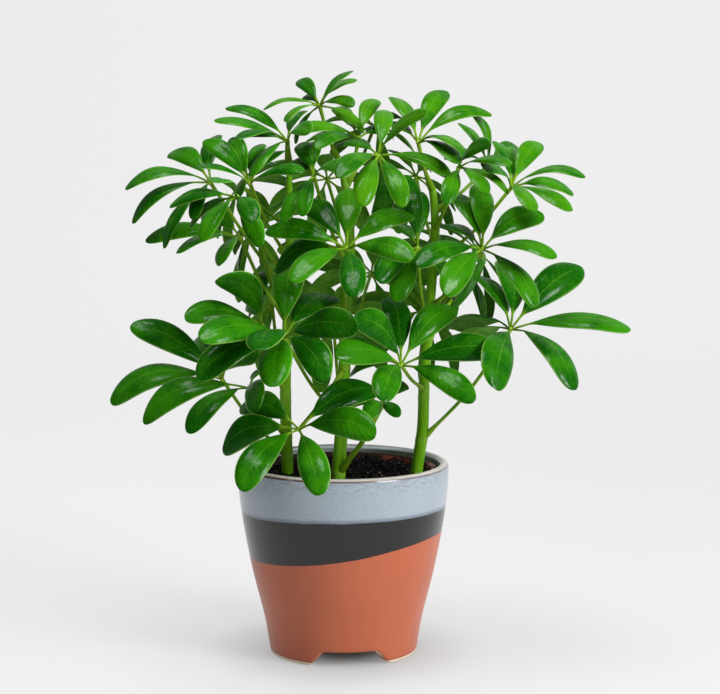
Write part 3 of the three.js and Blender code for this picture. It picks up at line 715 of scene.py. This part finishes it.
print("leaves:", len(LEAVES), "seen from the front,", len(WHORLS), "at the back")

# %% [markdown]
# ## Which way a leaf looks, and which way its leaflets point
#
# A leaf turns its upper side outwards and up, the higher on the plant the more upwards, and the front
# ones are pulled round to the light. The solid's leaflets were swung aside by a few degrees where they
# would have run through a neighbour. The same swings are found again here: each leaflet's tip is a
# corner of its solid, so of all the small swings the right one is the one whose tip lies on a corner.

# %% Facing, rays and swings
TILT_AT_SOIL, TILT_PER_MM, TILT_BASE_HEIGHT = 22, 0.1, 160
PLANT_HEART, LIGHT_PULL = np.array([8.0, 12.0]), 0.9
WHORL_DROOP, WHORL_SHORTENING = np.radians(24), 0.16
BLADE_ARCH = 0.15
SWING_STEP, SWING_REACH = 7, 3
TIP_TOLERANCE = 0.05
SKY = np.array([0.0, 0.0, 1.0])


def leaf_facing(hub, measured):
    """out cos tilt + sky sin tilt: out leads level from the plant's heart to the hub, drawn to the
    light in front for a measured leaf, and the tilt grows with the height."""
    out = unit(np.append(np.array(hub[:2]) - PLANT_HEART, 0.0))
    if measured:
        out = unit(out + [0, -LIGHT_PULL, 0])
    tilt = np.radians(TILT_AT_SOIL + TILT_PER_MM * (hub[2] - TILT_BASE_HEIGHT))
    return out * np.cos(tilt) + SKY * np.sin(tilt)


def measured_rays(rows, reach):
    """Clock and lean as a direction: (cos lean cos clock, -sin lean, cos lean sin clock). With it
    come the lengths and arches."""
    usual = (0, 0, reach, BLADE_ARCH)
    clock, lean, length, arch = np.array([(*row, *usual[len(row):]) for row in rows], float).T
    c, l = np.radians(clock), np.radians(lean)
    return np.stack([np.cos(l) * np.cos(c), -np.sin(l), np.cos(l) * np.sin(c)], -1), length, arch


def whorl_rays(whorl, reach, facing):
    """Evenly round the facing and drooping from it, the ones over the leaf stalk shorter."""
    count, turn = whorl
    side = unit(np.cross(SKY, facing))
    rise = np.cross(facing, side)
    a = np.radians(turn + 360 * np.arange(count) / count)[:, None]
    flat = side * np.cos(a) + rise * np.sin(a)
    ways = flat * np.cos(WHORL_DROOP) - facing * np.sin(WHORL_DROOP)
    length = reach * (1 - WHORL_SHORTENING * (1 + np.sin(a[:, 0])) / 2)
    return ways, length, np.full(count, BLADE_ARCH)


def rotated(vectors, axis, angle):
    """A turn about an axis: v cos + (axis x v) sin + axis (axis . v)(1 - cos)."""
    c, s = np.cos(angle), np.sin(angle)
    share = np.sum(axis * vectors, -1, keepdims=True)
    return vectors * c + np.cross(axis, vectors) * s + axis * share * (1 - c)


def corners_of(node):
    """The corners of a CAD node, in mm from the pot's axis."""
    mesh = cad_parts[node].data
    flat = np.empty(len(mesh.vertices) * 3, np.float32)
    mesh.vertices.foreach_get("co", flat)
    return (flat.reshape(-1, 3).astype(float) - AXIS) * 1000


def swung(node, hub, ways, lengths, facing):
    """Each way after the swing that the solid took, and whether the solid has that leaflet."""
    steps = np.radians(SWING_STEP) * np.arange(-SWING_REACH, SWING_REACH + 1)
    lift, fan = (m.reshape(-1, 1, 1) for m in np.meshgrid(steps, steps))
    side = unit(np.cross(ways, facing))
    options = rotated(rotated(ways[None], side[None], lift), facing, fan)
    tips = hub + options * lengths[:, None]
    gap = np.linalg.norm(tips[:, :, None] - corners_of(node)[None, None], axis=-1).min(-1)
    return options[gap.argmin(0), np.arange(len(ways))], gap.min(0) < TIP_TOLERANCE


leaves, left_out = {}, 0
for name, (stem, start, hub, reach, spread) in {**LEAVES, **WHORLS}.items():
    hub, measured = np.array(hub, float), name in LEAVES
    facing = leaf_facing(hub, measured)
    ways, lengths, arches = (measured_rays(spread, reach) if measured
                             else whorl_rays(spread, reach, facing))
    ways, kept = swung("leaf_" + name, hub, ways, lengths, facing)
    left_out += int((~kept).sum())
    leaves[name] = {"stem": stem, "start": start, "hub": hub, "facing": facing,
                    "ways": ways[kept], "lengths": lengths[kept], "arches": arches[kept]}
print("leaflets:", sum(len(leaf["ways"]) for leaf in leaves.values()), "and left out:", left_out)

# %% [markdown]
# ## The bark
#
# The stems are green and round, a little thinner towards the top, with a slight swelling where each
# leaf stalk leaves them. A tube swept along the stem's path gives that, with its radius as a slow taper
# times one small bell for each leaf. The finish is fresh green, with fine upright streaks from noise
# stretched along Z, paler rings at the swellings, and a browner foot.

# %% The stems as surfaces
SWELLING_REACH, SWELLING = 2.2, 0.06
STEM_CAP = 1.2


def make_bark():
    g = Finish("green_bark")
    ring, height = g.attribute("bark")[:2]
    streak = g.noise(900, 3, 0.6, squeeze=(1.0, 1.0, 0.08))
    patch = g.noise(90, 3)
    colour = g.coats(
        g.mix(g.step(streak, 0.3, 0.7), (98, 158, 14), (112, 176, 22)),
        (g.step(patch, 0.45, 0.75) * 0.3, (120, 168, 50)),
        (ring * 0.28, (150, 176, 84)),
        (g.step(height, 0.14, 0.0) * 0.35, (104, 116, 44)))
    constants = {"IOR": 1.45, "Specular IOR Level": 0.22, "Specular Tint": (0.8, 1.0, 0.45, 1.0)}
    return g.done(colour, 0.38 + 0.15 * patch, constants, (streak * 0.35, 0.0003, 0.5))


bark = make_bark()
share = np.linspace(0, 1, STEM_ROWS)
stem_faces = sleeve_faces(STEM_ROWS, STEM_SIDES)
count = STEM_ROWS * STEM_SIDES
stem_faces += fan_faces(np.arange(STEM_SIDES), count, outward=False)
stem_faces += fan_faces(np.arange(count - STEM_SIDES, count), count + 1)
for name, (points, radii) in STEMS.items():
    path = stem_paths[name]
    taper = np.interp(share, np.linspace(0, 1, len(radii)), radii)
    starts = np.array([leaf["start"] for leaf in leaves.values() if leaf["stem"] == name], float)
    bells = np.exp(-((path[:, 2:3] - starts) / SWELLING_REACH) ** 2).sum(-1).clip(0, 1)
    rings = sweep(path, taper * (1 + SWELLING * bells), STEM_SIDES, np.array([1.0, 0.0, 0.0]))
    ends = np.stack([path[0], path[-1] + [0, 0, STEM_CAP]])
    values = np.stack([bells, share, np.zeros(STEM_ROWS)], -1).repeat(STEM_SIDES, 0)
    make_piece("bark_" + name, np.vstack([rings.reshape(-1, 3), ends]), stem_faces, bark,
               ["stem_" + name], {"bark": np.vstack([values, values[[0, -1]]])})
print("stems dressed:", len(STEMS))

# %% [markdown]
# ## One leaflet
#
# A leaflet is a short round stalk that flattens into a blade: narrow at its foot, widest past the
# middle, blunt at the tip. It arches over and hooks at the tip, a shallow valley runs along the midrib
# between two crowned halves, and the edges wave a little. Leaflets roll to the sky or the light, and
# high up they are narrower. Cutting a flat outline and bending it would need many faces near the
# outline. Instead it is a grid of length by way round: a loop of twelve points is carried along the
# arched rib, and changes from a circle into a thin lens as wide as the blade is there. Few faces are
# enough, because a subdivision surface rounds them.

# %% The form of a leaflet
LEAFLET_STALK_SHARE = 0.17
LEAFLET_STALK_RADIUS = 0.85
BLADE_WIDTH_RATIO = 0.405
BLADE_THICKNESS, THINNEST = 0.75, 0.35
WEDGE, BLUNTNESS = 0.85, 0.5
ARCH_LIFT, HOOK = 1.6, 0.6
FALL_POWER, VALLEY = 2.0, 0.14
RIB_RIDGE, RIB_GROOVE = 0.5, 0.45
CROWN_CENTRE, CROWN_REACH = np.array([8.0, 250.0]), np.array([110.0, 130.0])
CROWN_RIM, SKY_ROLL = (0.62, 0.95), 0.75
HEAD_ON, LIGHT_ROLL = (0.85, 0.97), 1.2
WINDOW = np.array([0.0, -1.0, 0.0])
NARROW_HEIGHTS, NARROWING = (285, 365), 0.14
WIDTHS, DROPS, TWIST, WAVES, SWING = (0.93, 1.08), (0.28, 0.44), 0.22, (0.2, 0.7), 0.03
LOOP = 12
STALK_STATIONS = np.array([0.02, 0.11])
BLADE_STATIONS = np.array([0.0, 0.06, 0.14, 0.25, 0.38, 0.52, 0.66, 0.79, 0.89, 0.96, 0.992])


def blade_outline(along):
    """Half width as a share of the greatest: along^a (1 - along)^b over its value at a / (a + b),
    where it is greatest. a makes the foot a wedge, b the tip blunt."""
    a, b = WEDGE, BLUNTNESS
    along = np.clip(along, 0, 1)
    return along**a * (1 - along) ** b * (a + b) ** (a + b) / (a**a * b**b)


def leaflet_grids(leaf, chance):
    """Points of all leaflets of a leaf, leaflets by stations by loop, and their tips. The rib is
    hub + t way length + bulge 4 arch length t (1 - t)(0.7 + 0.6 t), so it hooks a little at the tip.
    A loop point at angle a lies across the rib by half cos a. Its height is radius sin a on the
    stalk. On the blade it is half the thickness sin a, less a drop that grows with the square of the
    distance from the rib, less a valley on the rib itself, plus a wave along the edge and a twist.
    Leaves at the rim of the crown have more light from above, so their sideways leaflets roll a
    little to the sky. A leaflet that points where its leaf looks has no side turned to it, so it
    turns its upper side to the light at the front. High leaves are narrower."""
    hub, facing, ways = leaf["hub"], leaf["facing"], leaf["ways"]
    lengths, arches, count = leaf["lengths"], leaf["arches"], len(ways)
    out = np.linalg.norm((hub[[0, 2]] - CROWN_CENTRE) / CROWN_REACH)
    roll = SKY_ROLL * smoothstep(out, *CROWN_RIM) * np.abs(ways[:, :1]) ** 1.5
    ahead = smoothstep(ways @ facing, *HEAD_ON)[:, None]
    look = unit(facing + roll * SKY + LIGHT_ROLL * ahead * WINDOW)
    up = unit(look - ways * np.sum(ways * look, -1, keepdims=True))
    side = np.cross(ways, up)
    bulge = unit(up + ARCH_LIFT * (SKY - ways * ways[:, 2:3]))
    foot = LEAFLET_STALK_SHARE
    t = np.concatenate([STALK_STATIONS, foot + (1 - foot) * BLADE_STATIONS])
    along = (t - foot) / (1 - foot)
    width = chance.uniform(*WIDTHS, count)[:, None]
    width = width * (1 - NARROWING * smoothstep(hub[2], *NARROW_HEIGHTS))
    drop = chance.uniform(*DROPS, count)[:, None]
    twist = chance.uniform(-TWIST, TWIST, count)[:, None]
    wave, phase = chance.uniform(*WAVES, (count, 1)), chance.uniform(0, 2 * np.pi, (count, 1))
    swing = chance.uniform(-SWING, SWING, count)[:, None]

    tail = t * (1 - t) * (1 - HOOK / 2 + HOOK * t)
    rib = hub + ways[:, None] * (t * lengths[:, None])[..., None]
    rib = rib + bulge[:, None] * (4 * (arches * lengths)[:, None] * tail)[..., None]
    rib = rib + side[:, None] * (4 * swing * lengths[:, None] * tail)[..., None]
    outline = blade_outline(along)
    flat = smoothstep(along, -0.1, 0.12)
    half = width * BLADE_WIDTH_RATIO * lengths[:, None] * (1 - foot) / 2 * outline
    half = np.maximum(half, LEAFLET_STALK_RADIUS * (1 - smoothstep(along, 0.5, 0.9)))

    a = circle(LOOP)
    across, above = np.cos(a), np.sin(a)
    over_rib, under_rib = above > 0.9, above < -0.9
    blade_half = BLADE_THICKNESS / 2 * flat * (THINNEST + (1 - THINNEST) * outline)
    thick = LEAFLET_STALK_RADIUS * (1 - flat) + blade_half
    ridge = RIB_RIDGE * flat * (1 - smoothstep(along, 0.3, 1.0))
    lens = thick[:, None] * above - ridge[:, None] * under_rib
    groove = -RIB_GROOVE * (flat * outline)[:, None] * over_rib
    fall = -(drop * half)[..., None] * np.abs(across) ** FALL_POWER
    valley = -(VALLEY * half * flat)[..., None] * (over_rib | under_rib)
    ripple = (wave * outline * np.sin(9 * along + phase))[..., None] * across**3
    tilt = (twist * along.clip(0) * half)[..., None] * across
    rise = lens + groove + fall + valley + ripple + tilt
    sideways = -(half[..., None] * across)[..., None] * side[:, None, None]
    points = rib[:, :, None] + sideways + rise[..., None] * up[:, None, None]
    tips = hub + ways * lengths[:, None] - up * 0.3
    return points, tips, along, across, above


# %% [markdown]
# ## One leaf
#
# A leaf is one grown thing: a long stalk that clasps the stem with a wider foot, a small knob at its
# end, and the leaflets that spread from the knob. They become one mesh. Each point carries two sets of
# numbers for the finish: where it lies on its blade (across, along, and whether it is underneath), and
# what the leaflet is like (a tone of its own, how young it is, and whether it is the knob).

# %% Stalk, knob and leaflets of a leaf in one mesh
STALK_RADIUS, STALK_SAG = 1.3, 0.03
STALK_FOOT, FOOT_AT, FOOT_REACH = 1.15, 3, 8
STALK_END, END_REACH = 0.25, 6
STOUT_STALKS = {"low_inner": 1.9}
STALK_ROWS, STALK_SIDES = 18, 8
KNOB_ROWS, KNOB_SIDES, KNOB_RADII = 5, 8, [2.1, 2.1, 1.8]
STALK_PLACE, KNOB_PLACE = [0.0, -1.0, 0.0], [0.0, -0.5, 0.0]
TIP_PLACE, HUB_PLACE = [0.0, 1.0, 0.5], [0.0, -0.2, 0.5]
OLDEST_HEIGHT, YOUNGEST_HEIGHT = 200, 420
GROWN_LEAVES = {"upper_left": 0.08, "upper_left_front": 0.12, "left_high": 0.2, "left_mid": 0.2,
                "heart": 0.15, "top_left": 0.35}
leaf_chance = np.random.default_rng(23)


def leaf_stalk(leaf, bend, radius):
    """The stalk's path from the stem's middle line to its knob: out and down by a share of its length
    at the middle. Its radius swells by a bell where it clasps the stem and by another at the knob."""
    foot, hub = on_stem(leaf["stem"], leaf["start"]), leaf["hub"]
    gap = hub - foot
    sag = STALK_SAG * np.linalg.norm(gap)
    out = unit(np.array([gap[0], gap[1], 0.0]))
    middle = foot + gap / 2 + out * sag - SKY * sag + np.array(bend)
    end = hub + unit(hub - middle) * 0.5
    path = smooth_path([foot, middle, end], STALK_ROWS)
    s = np.linalg.norm(path - foot, axis=1)
    to_hub = np.linalg.norm(path - hub, axis=1)
    swell = STALK_FOOT * np.exp(-((s - FOOT_AT) / FOOT_REACH) ** 2)
    swell = swell + STALK_END * np.exp(-(to_hub / END_REACH) ** 2)
    return sweep(path, radius * (1 + swell), STALK_SIDES, unit(np.cross(out, SKY)))


def leaf_mesh(leaf, stalk, youth):
    """Points, faces and the two attributes of a whole leaf."""
    points, faces, blade, growth = [], [], [], []
    total = 0

    def add(rows, face_list, blade_rows, growth_row):
        nonlocal total
        points.append(rows)
        faces.extend(face_list)
        blade.append(np.broadcast_to(blade_rows, rows.shape))
        growth.append(np.broadcast_to(growth_row, rows.shape))
        total += len(rows)

    add(stalk.reshape(-1, 3), sleeve_faces(STALK_ROWS, STALK_SIDES), STALK_PLACE, [0.0, youth, 0.0])
    knob = leaf["hub"] + ball(KNOB_ROWS, KNOB_SIDES).reshape(-1, 3) * KNOB_RADII
    add(knob, sleeve_faces(KNOB_ROWS, KNOB_SIDES, total), KNOB_PLACE, [0.0, youth, 1.0])

    grids, tips, along, across, above = leaflet_grids(leaf, leaf_chance)
    below = 0.5 - 0.5 * np.sign(above.round(6))
    where = np.stack(np.broadcast_arrays(across, along[:, None], below), -1).reshape(-1, 3)
    where = np.vstack([where, TIP_PLACE, HUB_PLACE])
    for grid, tip in zip(grids, tips):
        rows = np.vstack([grid.reshape(-1, 3), tip, leaf["hub"]])
        tip_number = total + len(rows) - 2
        face_list = sleeve_faces(len(along), LOOP, total)
        face_list += fan_faces(tip_number - LOOP + np.arange(LOOP), tip_number)
        face_list += fan_faces(total + np.arange(LOOP), tip_number + 1, outward=False)
        add(rows, face_list, where, [leaf_chance.uniform(-1, 1), youth, 0.0])
    return np.vstack(points), faces, np.vstack(blade), np.vstack(growth)


# %% [markdown]
# ## The leaves' finish
#
# The blades are deep green above, with wax that gives a soft gloss, and paler and duller below. A pale
# midrib runs to the tip, side veins leave it at a slant and fade before the edge, and along the edge
# runs a thin pale line, a painted highlight. The blade stands a little higher between the side veins. All
# of this is drawn
# from the point's place on its blade, so it follows the blade however it bends. Young leaves at the
# top are yellower. No two leaflets are quite the same green.

# %% The green of the leaves
VEIN_PACE, VEIN_SLANT = 11, 1.9


def make_leaf_green():
    g = Finish("waxy_leaf")
    across, along, under = g.attribute("blade")
    tone, youth, knob = g.attribute("growth")
    off_rib = abs(across)
    cloud = g.noise(55, 3, 0.6)
    mottle = g.noise(420, 3, 0.6)

    vein_wave = g.maths("PINGPONG", along * VEIN_PACE - off_rib * VEIN_SLANT + mottle * 0.3, 0.5)
    vein = g.step(vein_wave, 0.08, 0.0) * g.step(off_rib, 0.95, 0.5) * g.step(along, 0.0, 0.1)
    midrib = g.step(off_rib, 0.06, 0.0) * g.step(along, 1.02, 0.6)
    # painted highlight: a thin pale line along the blade's edge
    edge_highlight = g.step(off_rib, 0.885, 0.955)
    underside = g.step(under, 0.55, 0.75)
    stalk = g.step(along, 0.07, -0.03)

    tint = g.step(cloud + tone * 0.16, 0.3, 0.72)
    deep = g.mix(tint, (10, 80, 0), (44, 117, 2))
    young = g.mix(tint, (32, 98, 0), (68, 128, 2))
    top = g.coats(
        g.mix(g.step(youth + tone * 0.12, 0.25, 1.15), deep, young),
        (g.step(mottle, 0.45, 0.75) * 0.14, (64, 136, 20)),
        (vein * 0.1, (112, 168, 56)),
        (midrib * 0.24, (120, 174, 52)))
    below = g.mix(g.step(cloud, 0.3, 0.7), (70, 128, 28), (100, 156, 48))
    below = g.mix(midrib * 0.5, below, (150, 190, 84))
    stalk_green = g.mix(g.step(cloud, 0.35, 0.65), (92, 136, 18), (122, 162, 38))
    stalk_green = g.mix(knob * 0.6, stalk_green, (164, 194, 74))
    colour = g.coats(top, (underside, below), (edge_highlight * 0.5, (146, 194, 88)), (stalk, stalk_green))

    swell = g.noise(125, 2, 0.5)
    quilt = vein_wave * g.step(off_rib, 1.0, 0.6) * (0.5 - underside)
    relief = (swell * 1.5 + mottle * 0.08 + quilt * 0.9) * (1 - stalk)
    wax = (0.17 + (mottle - 0.5) * 0.6) * (1 - underside) * (1 - 0.7 * stalk)
    constants = {"IOR": 1.45, "Specular IOR Level": 0.03, "Coat Roughness": 0.15, "Coat IOR": 1.5}
    roughness = 0.45 + 0.1 * underside
    return g.done(colour, roughness, constants, (relief, 0.0012, 0.5), {"Coat Weight": wax})


# %% Dressing the leaves
leaf_green = make_leaf_green()
face_total = 0
for name, leaf in leaves.items():
    youth = np.clip((leaf["hub"][2] - OLDEST_HEIGHT) / (YOUNGEST_HEIGHT - OLDEST_HEIGHT), 0, 1)
    youth = GROWN_LEAVES.get(name, float(youth))
    stalk = leaf_stalk(leaf, STALK_BENDS.get(name, (0, 0, 0)), STOUT_STALKS.get(name, STALK_RADIUS))
    points, faces, blade, growth = leaf_mesh(leaf, stalk, youth)
    make_piece("foliage_" + name, points, faces, leaf_green, ["leaf_" + name],
               {"blade": blade, "growth": growth}, levels=1)
    face_total += len(faces)
print("leaves:", len(leaves), "with", face_total, "faces before they are subdivided")

# %% [markdown]
# ## Floor and light
#
# The photo is a plain studio shot: one pale sweep of paper under and behind the plant, a large soft
# light from the front right, another overhead, a faint one from the left, and a little light from
# everywhere else. The sweep is a profile, floor then a wide bend then wall, drawn out sideways. Large
# lights give soft edges and the broad pale gloss on the leaves. The paper glows by itself, a little
# less on the right, so that it stays as even and pale as in the photo. The soft shade round the pot's
# foot, the deep one under it that shows through the arches, and the dimmer paper far on the left are
# painted into that glow, because a glowing paper would hide cast shadows.

# %% The paper sweep
SWEEP_HALF_WIDTH, SWEEP_FRONT, SWEEP_TOP = 4.0, -3.0, 4.5
BEND_START, BEND_RADIUS, BEND_ROWS = 1.4, 0.9, 16
POT_SHADE, UNDER_SHADE, LEFT_SHADE = (0.11, 0.04), (0.062, 0.016), (0.34, 0.06)


def paper_sweep():
    """Floor, a quarter circle and a wall, drawn out along X, in metres."""
    bend = np.linspace(0, np.pi / 2, BEND_ROWS)
    y = np.concatenate([[SWEEP_FRONT, 0.0], BEND_START + BEND_RADIUS * np.sin(bend),
                        [BEND_START + BEND_RADIUS]])
    z = np.concatenate([[0.0, 0.0], BEND_RADIUS - BEND_RADIUS * np.cos(bend), [SWEEP_TOP]])
    x = np.array([-SWEEP_HALF_WIDTH, SWEEP_HALF_WIDTH])
    grid = np.stack(np.broadcast_arrays(x, y[:, None], z[:, None]), -1)
    rows = np.arange(len(y) - 1)[:, None] * 2
    return grid.reshape(-1, 3), (rows + np.array([0, 1, 3, 2])).tolist()


def grey(light):
    """A grey as a colour, from its linear value."""
    return (light, light, light, 1.0)


def make_paper():
    g = Finish("pale_paper")
    colour = g.mix(g.noise(12, 3), (114, 114, 114), (116, 116, 116))
    x, y = g.parts(g.place)[:2]
    glow = g.mix(g.step(x, -0.3, 0.35), grey(0.67), grey(0.625))
    glow = g.mix(g.step(y, 0.1, 2.1), glow, grey(0.72))
    from_left = ((x + 0.10) ** 2.0 + (y - float(AXIS[1])) ** 2.0) ** 0.5
    from_pot = ((x - float(AXIS[0])) ** 2.0 + (y - float(AXIS[1])) ** 2.0) ** 0.5
    shade = g.step(from_left, *LEFT_SHADE) * 0.05 + g.step(from_pot, *POT_SHADE) * 0.28
    shade = shade + g.step(from_pot, *UNDER_SHADE) * 0.64
    far_left = g.step(x + y * 0.25, -0.34, -0.8)
    glow = g.mix(shade + far_left * 0.6, glow, grey(0.0))
    constants = {"Specular IOR Level": 0.0, "Emission Strength": 1.0}
    return g.done(colour, 1.0, constants, varying={"Emission Color": glow})


sweep_points, sweep_faces = paper_sweep()
floor_mesh = bpy.data.meshes.new("paper_sweep")
floor_mesh.from_pydata(sweep_points.tolist(), [], sweep_faces)
floor_mesh.shade_smooth()
floor_mesh.materials.append(make_paper())
floor = bpy.data.objects.new("paper_sweep", floor_mesh)
scene.collection.objects.link(floor)
print("paper:", len(sweep_faces), "faces")

# %% The lights
# Each light's place, the height over the frame's origin that it looks at, its size, and its watts.
LIGHTS = {
    "key_right": ((1.5, -1.15, 1.25), 0.22, 0.8, 54),
    "fill_left": ((-1.5, -0.9, 0.8), 0.2, 0.5, 0.5),
    "overhead": ((-0.15, -0.25, 1.9), 0.2, 0.8, 25),
}
WORLD_STRENGTH = 0.12


def aimed(place, height):
    """A light's matrix: its own -Z looks from its place to a height over the frame's origin."""
    back = unit(np.array(place) - height * SKY)
    right = unit(np.cross(SKY, back))
    matrix = np.eye(4)
    matrix[:3, :3] = np.stack([right, np.cross(back, right), back], -1)
    matrix[:3, 3] = place
    return Matrix(matrix.tolist())


for name, (place, height, size, watts) in LIGHTS.items():
    lamp = bpy.data.lights.new(name, "AREA")
    lamp.shape, lamp.size, lamp.energy = "SQUARE", size, watts
    holder = bpy.data.objects.new(name, lamp)
    holder.matrix_world = aimed(place, height)
    scene.collection.objects.link(holder)
world = bpy.data.worlds.new("studio")
world.use_nodes = True
surroundings = world.node_tree.nodes["Background"].inputs
surroundings["Color"].default_value = grey(1.0)
surroundings["Strength"].default_value = WORLD_STRENGTH
scene.world = world
print("lights:", *LIGHTS)
